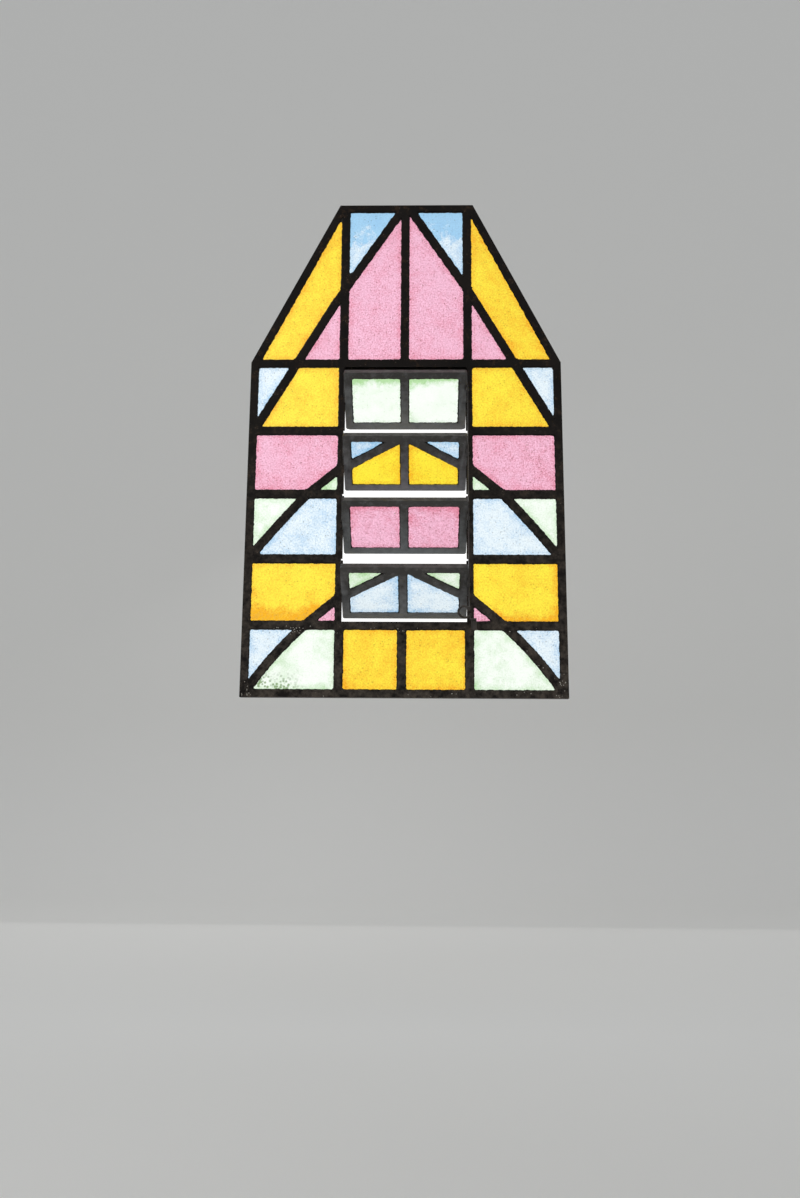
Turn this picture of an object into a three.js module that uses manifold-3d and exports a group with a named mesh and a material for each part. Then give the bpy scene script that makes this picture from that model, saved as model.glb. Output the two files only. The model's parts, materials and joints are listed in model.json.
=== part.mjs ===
// A welded steel window with coloured glass and four ganged tilting vents.
// Millimetres, +Z up. +X is to the right seen from the room, -Y is the room side, +Y is outdoors.
// The origin is on the underside of the sill, at the middle of its length and depth.
import * as THREE from "three";
import { mergeVertices } from "three/addons/utils/BufferGeometryUtils.js";
import Module from "manifold-3d";

const wasm = await Module();
wasm.setup();

// ---- Steel sections ----
const flangeWidth = 22; // face of every T-bar and of the edge angle
const metal = 3; // thickness of all rolled sections
const sectionDepth = 25; // from the room-side face to the outdoor edge of a web
const roomFace = -sectionDepth / 2;
const outdoorFace = sectionDepth / 2;
const halfFlange = flangeWidth / 2;
const halfMetal = metal / 2;
const weldOverlap = 0.5; // how far a bar runs into the one it is welded to

// ---- The lattice: centre lines of the bars ----
const jambX = 463;
const headHalfLength = 202;
const mullionX = 190;
const lowerRowHeight = 199;
const upperRowHeight = 217;
const gableHeight = 522;
const sillZ = halfFlange;
const line5 = sillZ + lowerRowHeight; // cross lines are numbered from the top
const line4 = line5 + lowerRowHeight;
const line3 = line4 + lowerRowHeight;
const line2 = line3 + lowerRowHeight;
const line1 = line2 + upperRowHeight;
const headZ = line1 + gableHeight;
const gableCentreBarX = -3; // the short centre bars were set a little left by hand
const baseCentreBarX = -7;

// The slanting bars of the gable bend slightly where they cross a mullion and a cross line.
const peakHalfGap = 10;
const peakDropAtMullion = 275;
const peakXAtLine1 = 334;
const peakXAtLine2 = 459;

// Each arch bar starts beside the vents, crosses a cross line and dies into the jamb one row lower.
const archRise = 85;
const archCrossingX = 292;
const archFootX = 461;
const archSteps = 5;
const upperArchBow = 3;
const lowerArchBow = 8;

// ---- Glass ----
const glassThickness = 4;
const glassGap = 0.3; // bedding gap between glass and flange
const edgeClearance = 1; // between the edge of a pane and the nearest web
const webInset = halfMetal + edgeClearance;

// ---- Vents ----
const ventHalfWidth = 185;
const ventHeight = 190;
const ventDepth = 19;
const ventRail = 20; // seen width of the top and bottom rails
const ventSideRail = 22;
const ventCorner = 4;
const ventDiagonal = 24;
const ventDiagonalLowered = 3.5; // the two diagonals meet a little below the top edge
const ventPivotRise = 103; // pivot above the cross line below the vent
const ventPivotY = roomFace + metal + glassGap + ventDepth / 2;
const ventOpenAngle = THREE.MathUtils.degToRad(49);
const ventHalf = ventHeight / 2;
const ventHalfDepth = ventDepth / 2;
const ventRoomFace = -ventHalfDepth;
const ventDiagonalDrop = line2 - line3 - archRise - (lowerRowHeight - ventPivotRise - ventHalf);
const ventBarOffsets = [-2, -2, -2, -4];
const ventLines = [line2, line3, line4, line5];
const pivotRadius = 3;
const pivotCollarRadius = 6;
const pivotClearance = 0.5;
const dripStripThickness = 2;
const dripStripGap = 0.4; // keeps the strip clear of the vent below when shut
const dripStripLap = 12;
const dripStripHold = 6;
const dripStripInset = 8;

// ---- Stops that the vents close against ----
const stopWidth = 7;
const stopSetback = 14; // the stops keep this far from a pivot
const outdoorStopThickness = 2.4;
const topStopDrop = 24;

// ---- Operating gear ----
const earReach = 45; // from the vent's pivot up the rail
const earStandOff = 24; // from the pivot plane into the room
const earX = 182.5; // inner face of the ears
const earThickness = 3;
const earRadius = 7;
const linkPinRadius = 2.5;
const linkHeadRadius = 4.5;
const linkHeadThickness = 1.6;
const linkClearance = 0.5;
const gearGap = 0.6; // side play between ear, bar and pin head
const barThickness = 3;
const barWidth = 12;
const barX = earX + earThickness + gearGap; // inner face of the operating bar
const leverPivotY = roomFace - 12;
const leverPivotZ = line5 + 28;
const bracketThickness = 3;
const bracketX = 194.5;
const bracketReach = 7;
const barOverrun = 10; // of the operating bar past its top pin
const joggleLength = 36; // the lower stretch where the bar bends forward to the lever
const footPinLength = 7;
const rodRadius = 3.4;
const hubRadius = 6.9;
const eyeRadius = 6;
const eyeLength = 6;
// Bends of the lever's rod between hub and eye: x from the operating bar, y and z from the pivot.
const leverBends = [
  [-12, -14, -9],
  [-28, -30, -2],
  [-29, -42, 10],
  [-17, -47.7, 18.4],
];
const gripWidth = 15;
const gripDepth = 6;
const gripLength = 46; // from the pivot to the grip's lower end
const gripSheet = 1.8;
const gripOffset = 4.5; // from the bracket to the middle of the grip
const gripTop = 9; // below the pivot
const gripTilt = 18; // degrees, lower end towards the room
const neckHeight = 5;

// ---- Helpers ----
const point = (x, z) => new THREE.Vector2(x, z);
const mirrored = (points) => points.map((p) => point(-p.x, p.y)).reverse();

function toSolid(geometry) {
  const bare = geometry.index ? geometry.toNonIndexed() : geometry.clone();
  bare.deleteAttribute("normal");
  bare.deleteAttribute("uv");
  const merged = mergeVertices(bare, 1e-4);
  return new wasm.Manifold(
    new wasm.Mesh({
      numProp: 3,
      vertProperties: new Float32Array(merged.attributes.position.array),
      triVerts: new Uint32Array(merged.index.array),
    }),
  );
}

function toGeometry(solid) {
  const mesh = solid.getMesh();
  const geometry = new THREE.BufferGeometry();
  geometry.setAttribute("position", new THREE.BufferAttribute(mesh.vertProperties, 3));
  geometry.setIndex(new THREE.BufferAttribute(mesh.triVerts, 1));
  const faceted = geometry.toNonIndexed();
  faceted.computeVertexNormals();
  return faceted;
}

const join = (solids) => solids.reduce((whole, solid) => whole.add(solid));

// An outline in the XZ plane, made solid between two depths.
function prism(outline, y0, y1) {
  const points = THREE.ShapeUtils.isClockWise(outline) ? [...outline].reverse() : outline;
  const geometry = new THREE.ExtrudeGeometry(new THREE.Shape(points), {
    depth: y1 - y0,
    bevelEnabled: false,
  });
  return toSolid(geometry.rotateX(Math.PI / 2).translate(0, y1, 0));
}

const rectangle = (x0, x1, z0, z1) => [point(x0, z0), point(x1, z0), point(x1, z1), point(x0, z1)];
const slab = (x0, x1, y0, y1, z0, z1) => prism(rectangle(x0, x1, z0, z1), y0, y1);

// A round pin or boss along X.
function rod(radius, x0, x1, y, z, sides = 20) {
  const geometry = new THREE.CylinderGeometry(radius, radius, x1 - x0, sides);
  return toSolid(geometry.rotateZ(Math.PI / 2).translate((x0 + x1) / 2, y, z));
}

// A polyline moved sideways by a distance, to the left of its direction, with mitred corners.
function offsetPath(path, distance) {
  return path.map((p, i) => {
    const before = path[Math.max(i - 1, 0)];
    const after = path[Math.min(i + 1, path.length - 1)];
    const inward = (i ? p.clone().sub(before) : after.clone().sub(p)).normalize();
    const outward = (i < path.length - 1 ? after.clone().sub(p) : inward.clone()).normalize();
    const normalIn = point(-inward.y, inward.x);
    const normalOut = point(-outward.y, outward.x);
    const mitre = normalIn.clone().add(normalOut).normalize();
    return p.clone().addScaledVector(mitre, distance / mitre.dot(normalIn));
  });
}

// A convex closed outline, anticlockwise, moved inwards by a distance.
function insetOutline(outline, distance) {
  const looped = [outline.at(-1), ...outline, outline[0]];
  return offsetPath(looped, distance).slice(1, -1);
}

const ribbon = (path, left, right) => [...offsetPath(path, left), ...offsetPath(path, -right).reverse()];

// A T-bar along a path: a flange towards the room and a web towards outdoors.
function teeBar(path, { width = flangeWidth, face = roomFace, back = outdoorFace } = {}) {
  const flange = prism(ribbon(path, width / 2, width / 2), face, face + metal);
  return flange.add(prism(ribbon(path, halfMetal, halfMetal), face, back));
}

// An angle section bent round a closed outline, its wide leg facing the room.
function angleRing(outline, inside, legInside, face, back) {
  const faceRing = prism(outline, face, face + metal).subtract(prism(inside, face - 1, face + metal + 1));
  const legRing = prism(outline, face, back).subtract(prism(legInside, face - 1, back + 1));
  return faceRing.add(legRing);
}

// ---- Lines of the pattern ----
const centreOutline = [
  point(-jambX, sillZ),
  point(jambX, sillZ),
  point(jambX, line1),
  point(headHalfLength, headZ),
  point(-headHalfLength, headZ),
  point(-jambX, line1),
];
const outerOutline = insetOutline(centreOutline, -halfFlange);

const peakPath = [
  point(peakHalfGap, headZ),
  point(mullionX, headZ - peakDropAtMullion),
  point(peakXAtLine1, line1),
  point(peakXAtLine2, line2),
];

// From the mullion straight down to the cross line, then in a slight bow to the foot at the jamb.
function archPath(line, bow) {
  const crossing = point(archCrossingX, line);
  const foot = point(archFootX, line - lowerRowHeight);
  const along = foot.clone().sub(crossing);
  const normal = point(-along.y, along.x).normalize();
  const path = [point(mullionX, line + archRise), crossing];
  for (let i = 1; i <= archSteps; i++) {
    const t = i / archSteps;
    const bulge = 4 * bow * t * (1 - t);
    path.push(crossing.clone().addScaledVector(along, t).addScaledVector(normal, bulge));
  }
  return path;
}
const upperArch = archPath(line3, upperArchBow);
const lowerArch = archPath(line5, lowerArchBow);

// The same path run on past its two ends.
function lengthened(path, atStart, atEnd = atStart) {
  const start = path[0].clone().sub(path[1]).setLength(atStart).add(path[0]);
  const end = path.at(-1).clone().sub(path.at(-2)).setLength(atEnd).add(path.at(-1));
  return [start, ...path, end];
}

// ---- Materials ----
const paint = (color) => new THREE.MeshStandardMaterial({ color, roughness: 0.55, metalness: 0.2 });
const stained = (color) =>
  new THREE.MeshStandardMaterial({ color, roughness: 0.35, metalness: 0, transparent: true, opacity: 0.75 });
const materials = {
  frame: () => paint("#2a2521"),
  vent: () => paint("#46443f"),
  gear: () => new THREE.MeshStandardMaterial({ color: "#6b6560", roughness: 0.5, metalness: 0.6 }),
  yellow: () => stained("#ffcb12"),
  pink: () => stained("#f2a9c4"),
  blue: () => stained("#b5dcfb"),
  green: () => stained("#cdf0c0"),
};

const group = new THREE.Group();

function addMesh(parent, name, solid, material) {
  const mesh = new THREE.Mesh(toGeometry(solid), materials[material]());
  mesh.name = name;
  parent.add(mesh);
}

// ---- Fixed frame ----
function mullion(side) {
  const x = side * mullionX;
  const openSide = x - side * halfMetal; // no flange here, so that the vents can swing through
  const plainSide = x + side * halfFlange;
  const lower = teeBar([point(x, 0), point(x, line5)]);
  const upper = teeBar([point(x, line1), point(x, headZ)]);
  const web = slab(x - halfMetal, x + halfMetal, roomFace, outdoorFace, 0, headZ);
  const [x0, x1] = [openSide, plainSide].sort((a, b) => a - b);
  const narrowFlange = slab(x0, x1, roomFace, roomFace + metal, line5, line1);
  return join([lower, upper, web, narrowFlange]);
}

// Room-side stops below each pivot, outdoor stops above it, and the holes for the pivot pins.
function ventStops(side) {
  const [x0, x1] = [side * (mullionX - stopWidth), side * mullionX].sort((a, b) => a - b);
  return ventLines.flatMap((line, i) => {
    const pivotZ = line + ventPivotRise;
    const top = i ? ventLines[i - 1] : line1;
    return [
      slab(x0, x1, roomFace, roomFace + metal, line, pivotZ - stopSetback),
      slab(x0, x1, outdoorFace - outdoorStopThickness, outdoorFace, pivotZ + stopSetback, top),
    ];
  });
}

function pivotHoles(side) {
  const [x0, x1] = [side * (mullionX - stopWidth), side * (mullionX + stopWidth)].sort((a, b) => a - b);
  const radius = pivotRadius + pivotClearance;
  return join(ventLines.map((line) => rod(radius, x0, x1, ventPivotY, line + ventPivotRise)));
}

function leverBracket() {
  const outerX = bracketX + bracketThickness;
  const low = leverPivotZ - bracketReach;
  const high = leverPivotZ + bracketReach;
  const plate = slab(bracketX, outerX, leverPivotY, roomFace + 1, low, high);
  const nose = rod(bracketReach, bracketX, outerX, leverPivotY, leverPivotZ);
  const pin = rod(linkPinRadius, barX + barThickness + gearGap, bracketX + 1, leverPivotY, leverPivotZ);
  return join([plate, nose, pin]);
}

function frameSolid() {
  const ring = angleRing(
    outerOutline,
    insetOutline(outerOutline, flangeWidth),
    insetOutline(outerOutline, metal),
    roomFace,
    outdoorFace,
  );
  const fullCrossLines = [line1, line5].map((z) => teeBar([point(-jambX, z), point(jambX, z)]));
  const sideCrossLines = [line2, line3, line4].flatMap((z) => [
    teeBar([point(-jambX, z), point(-mullionX, z)]),
    teeBar([point(mullionX, z), point(jambX, z)]),
  ]);
  const patternPaths = [
    lengthened(peakPath, flangeWidth, weldOverlap),
    lengthened(upperArch, weldOverlap),
    lengthened(lowerArch, weldOverlap),
  ];
  const patternBars = patternPaths.flatMap((path) => [teeBar(path), teeBar(mirrored(path))]);
  const ventColumn = slab(
    halfMetal - mullionX,
    mullionX - halfMetal,
    roomFace - 1,
    outdoorFace + 1,
    line5 + halfFlange,
    line1 - halfFlange,
  );
  const centreBars = [
    teeBar([point(gableCentreBarX, line1), point(gableCentreBarX, headZ)]),
    teeBar([point(baseCentreBarX, 0), point(baseCentreBarX, line5)]),
  ];
  const topStop = slab(
    -mullionX,
    mullionX,
    outdoorFace - outdoorStopThickness,
    outdoorFace,
    line1 - topStopDrop,
    line1,
  );
  const bars = join([...fullCrossLines, ...sideCrossLines, ...patternBars, ...centreBars])
    .subtract(ventColumn)
    .add(join([mullion(-1), mullion(1)]))
    .intersect(prism(outerOutline, roomFace, outdoorFace));
  const stops = join([...ventStops(-1), ...ventStops(1), topStop]);
  return join([ring, bars, stops, leverBracket()]).subtract(pivotHoles(-1)).subtract(pivotHoles(1));
}

addMesh(group, "frame", frameSolid(), "frame");

// ---- Fixed panes ----
const glassFront = roomFace + metal + glassGap;
const glassBack = glassFront + glassThickness;
const glassLimit = prism(insetOutline(outerOutline, metal + edgeClearance), glassFront, glassBack);

// Everything below a path, at the depth of a pane.
function underPath(path, offset, front, back) {
  const moved = offsetPath(lengthened(path, 4 * flangeWidth), offset);
  const floor = moved.at(-1).y - headZ;
  return prism([...moved, point(moved.at(-1).x, floor), point(moved[0].x, floor)], front, back);
}

// A cell of the lattice split by a pattern bar into the panes above and below it.
function splitCell(cell, path, front, back) {
  return [
    cell.subtract(underPath(path, webInset, front - 1, back + 1)),
    cell.intersect(underPath(path, -webInset, front - 1, back + 1)),
  ];
}

const fixedCell = (x0, x1, z0, z1) => slab(x0, x1, glassFront, glassBack, z0, z1).intersect(glassLimit);

const outsideX = jambX + flangeWidth;
// Each row of a side, with the pane above its pattern bar and the pane below it.
const sideRows = [
  {
    name: "gable",
    top: headZ + flangeWidth,
    bottom: line1,
    path: peakPath,
    panes: [["shoulder", "yellow"], ["haunch", "pink"]],
  },
  {
    name: "row1",
    top: line1,
    bottom: line2,
    path: peakPath,
    panes: [["corner", "blue"], ["main", "yellow"]],
  },
  {
    name: "row2",
    top: line2,
    bottom: line3,
    path: upperArch,
    panes: [["main", "pink"], ["corner", "green"]],
  },
  {
    name: "row3",
    top: line3,
    bottom: line4,
    path: upperArch,
    panes: [["corner", "green"], ["main", "blue"]],
  },
  {
    name: "row4",
    top: line4,
    bottom: line5,
    path: lowerArch,
    panes: [["main", "yellow"], ["corner", "pink"]],
  },
  {
    name: "row5",
    top: line5,
    bottom: sillZ - flangeWidth,
    path: lowerArch,
    panes: [["corner", "blue"], ["main", "green"]],
  },
];

for (const [sideName, side] of [["left", -1], ["right", 1]]) {
  const facing = (solid) => (side < 0 ? solid.mirror([1, 0, 0]) : solid);

  for (const row of sideRows) {
    const cell = fixedCell(mullionX + webInset, outsideX, row.bottom + webInset, row.top - webInset);
    splitCell(cell, row.path, glassFront, glassBack).forEach((solid, i) => {
      const [part, colour] = row.panes[i];
      addMesh(group, `pane_${row.name}_${part}_${sideName}`, facing(solid), colour);
    });
  }

  const gableInner = side * gableCentreBarX + webInset;
  const gableCell = fixedCell(gableInner, mullionX - webInset, line1 + webInset, headZ + flangeWidth);
  const [headPane, peakPane] = splitCell(gableCell, peakPath, glassFront, glassBack);
  addMesh(group, `pane_head_${sideName}`, facing(headPane), "blue");
  addMesh(group, `pane_peak_${sideName}`, facing(peakPane), "pink");

  const baseInner = side * baseCentreBarX + webInset;
  const baseCell = fixedCell(baseInner, mullionX - webInset, 0, line5 - webInset);
  addMesh(group, `pane_base_${sideName}`, facing(baseCell), "yellow");
}

// ---- Vents, each drawn upright round its own pivot and then swung open ----
const chamferedRectangle = (w, h, c) => [
  point(-w + c, -h),
  point(w - c, -h),
  point(w, -h + c),
  point(w, h - c),
  point(w - c, h),
  point(-w + c, h),
  point(-w, h - c),
  point(-w, -h + c),
];
const ventOutline = chamferedRectangle(ventHalfWidth, ventHalf, ventCorner);
const ventDiagonalPath = [
  point(0, ventHalf - ventDiagonalLowered),
  point(mullionX, ventHalf - ventDiagonalDrop - ventDiagonalLowered / 2),
];

function pivotPin(side) {
  const [x0, x1] = [side * (ventHalfWidth - 1), side * (mullionX + halfMetal + 1)].sort((a, b) => a - b);
  const collarEnd = mullionX - halfMetal - 1;
  const [c0, c1] = [side * (ventHalfWidth - 1), side * collarEnd].sort((a, b) => a - b);
  return rod(pivotRadius, x0, x1, 0, 0).add(rod(pivotCollarRadius, c0, c1, 0, 0));
}

// A plate on the right-hand rail that carries the pin of the operating bar.
function ventEar() {
  const x1 = earX + earThickness;
  const headX = barX + barThickness + gearGap;
  const lug = rod(earRadius, earX, x1, -earStandOff, earReach);
  const plate = slab(earX, x1, -earStandOff, 0, earReach - earRadius, earReach + earRadius);
  const pin = rod(linkPinRadius, x1 - weldOverlap, headX + weldOverlap, -earStandOff, earReach);
  const head = rod(linkHeadRadius, headX, headX + linkHeadThickness, -earStandOff, earReach);
  return join([lug, plate, pin, head]);
}

// A flat strip along the outdoor side of the bottom rail, lapping over the vent below.
function dripStrip() {
  const halfLength = ventHalfWidth - dripStripInset;
  const front = ventHalfDepth + dripStripGap;
  const back = front + dripStripThickness;
  const holdTop = dripStripHold - ventHalf;
  const strip = slab(-halfLength, halfLength, front, back, -ventHalf - dripStripLap, holdTop);
  const holdFront = ventHalfDepth - weldOverlap;
  const hold = slab(-halfLength, halfLength, holdFront, front + weldOverlap, -ventHalf + 1, holdTop);
  return strip.add(hold);
}

function ventSolid(index, hasDiagonals) {
  const centredRectangle = (w, h) => rectangle(-w, w, -h, h);
  const inner = centredRectangle(ventHalfWidth - ventSideRail, ventHalf - ventRail);
  const legInner = centredRectangle(ventHalfWidth - metal, ventHalf - metal);
  const ring = angleRing(ventOutline, inner, legInner, ventRoomFace, ventHalfDepth);
  const barX0 = ventBarOffsets[index];
  const options = { face: ventRoomFace, back: ventHalfDepth };
  const bars = [teeBar([point(barX0, -ventHalf), point(barX0, ventHalf)], options)];
  if (hasDiagonals)
    for (const path of [ventDiagonalPath, mirrored(ventDiagonalPath)])
      bars.push(teeBar(lengthened(path, 2 * ventRail), { ...options, width: ventDiagonal }));
  const clipped = join(bars).intersect(prism(ventOutline, ventRoomFace, ventHalfDepth));
  const solids = [ring, clipped, pivotPin(-1), pivotPin(1), ventEar()];
  const isLowest = index === ventLines.length - 1; // it shuts behind the cross line, so it has no drip strip
  if (!isLowest) solids.push(dripStrip());
  return join(solids);
}

const ventGlassFront = ventRoomFace + metal + glassGap;
const ventGlassBack = ventGlassFront + glassThickness;
const ventDesigns = [
  { colours: ["green"] },
  { colours: ["blue", "yellow"] },
  { colours: ["pink"] },
  { colours: ["green", "blue"] },
];

function ventPanes(index, side) {
  const inner = Math.max(0, side * ventBarOffsets[index] + webInset);
  const outer = ventHalfWidth - metal - edgeClearance;
  const height = ventHalf - metal - edgeClearance;
  const cell = slab(inner, outer, ventGlassFront, ventGlassBack, -height, height);
  if (ventDesigns[index].colours.length === 1) return [["", cell]];
  const [above, below] = splitCell(cell, ventDiagonalPath, ventGlassFront, ventGlassBack);
  return [["_corner", above], ["_main", below]];
}

ventLines.forEach((line, index) => {
  const { colours } = ventDesigns[index];
  const vent = new THREE.Group();
  vent.position.set(0, ventPivotY, line + ventPivotRise);
  vent.rotation.x = ventOpenAngle;
  group.add(vent);
  addMesh(vent, `vent_${index + 1}`, ventSolid(index, colours.length > 1), "vent");
  for (const [sideName, side] of [["left", -1], ["right", 1]])
    ventPanes(index, side).forEach(([part, solid], i) => {
      const faced = side < 0 ? solid.mirror([1, 0, 0]) : solid;
      addMesh(vent, `pane_vent${index + 1}${part}_${sideName}`, faced, colours[i]);
    });
});

// ---- Operating bar and lever ----
// Where the link pins stand, measured from their pivots, with the vents open.
const crank = new THREE.Vector2(-earStandOff, earReach).rotateAround(point(0, 0), ventOpenAngle);
const pinY = ventPivotY + crank.x;
const pinHeights = ventLines.map((line) => line + ventPivotRise + crank.y);
const leverEndY = leverPivotY + crank.x;
const leverEndZ = leverPivotZ + crank.y;

function operatingBar() {
  const barEnd = barX + barThickness;
  const half = barWidth / 2;
  const top = pinHeights[0] + barOverrun;
  const straightEnd = leverEndZ + joggleLength;
  const straight = slab(barX, barEnd, pinY - half, pinY + half, straightEnd, top);
  const joggle = new THREE.Shape([
    point(pinY + half, straightEnd + weldOverlap),
    point(pinY - half, straightEnd + weldOverlap),
    point(leverEndY - half, leverEndZ + half / 2),
    point(leverEndY - half, leverEndZ),
    point(leverEndY + half, leverEndZ),
  ]);
  const side = new THREE.ExtrudeGeometry(joggle, { depth: barThickness, bevelEnabled: false });
  // The side outline is drawn as (y, z) and stood up so that its thickness runs along X.
  const stand = new THREE.Matrix4().makeBasis(
    new THREE.Vector3(0, 1, 0),
    new THREE.Vector3(0, 0, 1),
    new THREE.Vector3(1, 0, 0),
  );
  const lower = toSolid(side.applyMatrix4(stand).translate(barX, 0, 0));
  const foot = rod(half, barX, barEnd, leverEndY, leverEndZ);
  const topEnd = rod(half, barX, barEnd, pinY, top);
  const footPin = rod(linkPinRadius, barX - footPinLength, barX + weldOverlap, leverEndY, leverEndZ);
  const holeRadius = linkPinRadius + linkClearance;
  const holes = pinHeights.map((z) => rod(holeRadius, barX - 1, barEnd + 1, pinY, z));
  return join([straight, lower, foot, topEnd, footPin]).subtract(join(holes));
}

// A bent rod from the hub round to the eye under the operating bar, and a folded hand grip.
function lever() {
  const hubX0 = barX + barThickness + 2 * gearGap;
  const hubX1 = bracketX - gearGap;
  const eyeX0 = barX - eyeLength;
  const hub = rod(hubRadius, hubX0, hubX1, leverPivotY, leverPivotZ);
  const eye = rod(eyeRadius, eyeX0, barX - gearGap, leverEndY, leverEndZ);
  const route = new THREE.CatmullRomCurve3(
    [
      [hubX0 + 1.5, leverPivotY - 3, leverPivotZ - 3],
      ...leverBends.map(([x, y, z]) => [barX + x, leverPivotY + y, leverPivotZ + z]),
      [eyeX0 + 2.5, leverEndY, leverEndZ + 3.5],
    ].map(([x, y, z]) => new THREE.Vector3(x, y, z)),
  );
  const section = new THREE.Shape();
  section.absarc(0, 0, rodRadius, 0, 2 * Math.PI);
  const arm = toSolid(
    new THREE.ExtrudeGeometry(section, {
      steps: 24,
      curveSegments: 4,
      extrudePath: route,
      bevelEnabled: false,
    }),
  );
  // The grip is drawn hanging straight down from the pivot, open towards the room.
  const gripX0 = bracketX + bracketThickness + gripOffset - gripWidth / 2;
  const gripX1 = gripX0 + gripWidth;
  const outside = slab(gripX0, gripX1, 0, gripDepth, -gripLength, -gripTop);
  const hollow = slab(
    gripX0 + gripSheet,
    gripX1 - gripSheet,
    -1,
    gripDepth - gripSheet,
    -gripLength - 1,
    1 - gripTop,
  );
  const channel = outside.subtract(hollow);
  const neck = slab(hubX0, gripX1, 0, gripDepth, -gripTop - neckHeight, -gripTop);
  const shank = slab(hubX0, hubX1, 0, gripDepth, -gripTop - neckHeight, -linkPinRadius);
  const grip = join([channel, neck, shank])
    .rotate([-gripTilt, 0, 0])
    .translate([0, leverPivotY - gripDepth / 2, leverPivotZ]);
  const boreRadius = linkPinRadius + linkClearance;
  const hubBore = rod(boreRadius, hubX0 - 5, hubX1 + 1, leverPivotY, leverPivotZ);
  const eyeBore = rod(boreRadius, eyeX0 - 1, barX + 1, leverEndY, leverEndZ);
  return join([hub, eye, arm, grip]).subtract(hubBore).subtract(eyeBore);
}

addMesh(group, "operating_bar", operatingBar(), "gear");
addMesh(group, "lever", lever(), "gear");

export default group;
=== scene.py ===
import json
import math

import bmesh
import bpy
import numpy as np
from mathutils import Matrix, Vector, noise
from mathutils.bvhtree import BVHTree
from mathutils.geometry import delaunay_2d_cdt


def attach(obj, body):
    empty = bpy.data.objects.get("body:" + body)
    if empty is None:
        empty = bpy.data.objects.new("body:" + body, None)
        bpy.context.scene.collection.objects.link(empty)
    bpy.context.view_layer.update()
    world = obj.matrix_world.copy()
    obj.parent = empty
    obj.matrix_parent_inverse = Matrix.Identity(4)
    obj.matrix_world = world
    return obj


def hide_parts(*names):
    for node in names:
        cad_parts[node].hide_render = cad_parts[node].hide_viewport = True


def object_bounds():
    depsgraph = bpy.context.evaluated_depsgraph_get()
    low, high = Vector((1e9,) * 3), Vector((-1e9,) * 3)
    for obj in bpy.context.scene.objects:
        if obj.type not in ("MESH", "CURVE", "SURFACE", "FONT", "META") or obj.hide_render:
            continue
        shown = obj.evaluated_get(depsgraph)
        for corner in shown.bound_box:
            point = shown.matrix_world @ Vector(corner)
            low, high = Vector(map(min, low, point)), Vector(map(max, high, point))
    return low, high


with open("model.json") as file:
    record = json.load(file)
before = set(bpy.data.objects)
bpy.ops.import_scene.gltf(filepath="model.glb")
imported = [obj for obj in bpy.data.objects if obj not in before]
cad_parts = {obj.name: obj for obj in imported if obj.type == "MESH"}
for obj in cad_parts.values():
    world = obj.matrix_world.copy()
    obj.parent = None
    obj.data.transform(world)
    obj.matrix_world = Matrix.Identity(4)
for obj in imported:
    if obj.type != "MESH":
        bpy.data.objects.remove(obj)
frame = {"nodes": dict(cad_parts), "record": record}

cadLow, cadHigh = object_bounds()
scene = bpy.context.scene
mm = 0.001
print("loaded the window:", len(frame["nodes"]), "nodes")

# camera
cameraSetup = {
    "place": (0.0386, -2.8854, -0.2629),
    "turn": 1.02,       # degrees to the left
    "pitch": 10.86,     # degrees upwards
    "roll": 0.376,
    "lens": 30.05,      # in mm, on a long side of 36 mm
    "longSide": 36,
    "farthest": 60,
}


def addCamera(setup):
    data = bpy.data.cameras.new("camera")
    data.lens = setup["lens"]
    data.sensor_width = setup["longSide"]
    data.clip_end = setup["farthest"]
    camera = bpy.data.objects.new("camera", data)
    scene.collection.objects.link(camera)
    turn = Matrix.Rotation(math.radians(setup["turn"]), 4, "Z")
    pitch = Matrix.Rotation(math.radians(90 + setup["pitch"]), 4, "X")
    roll = Matrix.Rotation(math.radians(setup["roll"]), 4, "Z")
    camera.matrix_world = Matrix.Translation(setup["place"]) @ turn @ pitch @ roll
    scene.camera = camera


addCamera(cameraSetup)


# small tools
def linear(hexColour):
    # turns an sRGB hex colour to the linear one that a shader takes
    parts = [int(hexColour[i:i + 2], 16) / 255 for i in (1, 3, 5)]
    return [c / 12.92 if c <= 0.04045 else ((c + 0.055) / 1.055) ** 2.4 for c in parts] + [1]


def addNode(tree, kind, inputs=(), output=0, **settings):
    # makes one node, sets it up, links or fills its inputs and gives back one of its outputs;
    # a colour Mix takes its share at input 0 and its colours at 6 and 7, and gives the result at output 2
    node = tree.nodes.new(kind)
    for key, value in settings.items():
        setattr(node, key, value)
    for key, value in inputs.items() if isinstance(inputs, dict) else enumerate(inputs):
        if isinstance(value, bpy.types.NodeSocket):
            tree.links.new(value, node.inputs[key])
        else:
            node.inputs[key].default_value = value
    return node.outputs[output] if len(node.outputs) else None


def newMaterial(name):
    material = bpy.data.materials.new(name)
    material.use_nodes = True
    tree = material.node_tree
    shader = tree.nodes["Principled BSDF"]
    place = addNode(tree, "ShaderNodeTexCoord", output="Object")
    return material, tree, shader, place


def newNodeTree(name, sockets):
    tree = bpy.data.node_groups.new(name, "GeometryNodeTree")
    tree.interface.new_socket("Geometry", in_out="INPUT", socket_type="NodeSocketGeometry")
    for socketName, value in sockets.items():
        socket = tree.interface.new_socket(socketName, in_out="INPUT", socket_type="NodeSocketFloat")
        socket.default_value = value
    tree.interface.new_socket("Material", in_out="INPUT", socket_type="NodeSocketMaterial")
    tree.interface.new_socket("Geometry", in_out="OUTPUT", socket_type="NodeSocketGeometry")
    return tree, tree.nodes.new("NodeGroupInput").outputs


def finishNodeTree(tree, geometry, material):
    real = addNode(tree, "GeometryNodeRealizeInstances", (geometry,))
    done = addNode(tree, "GeometryNodeSetMaterial", {"Geometry": real, "Material": material})
    addNode(tree, "NodeGroupOutput", (done,))
    return tree


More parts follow.
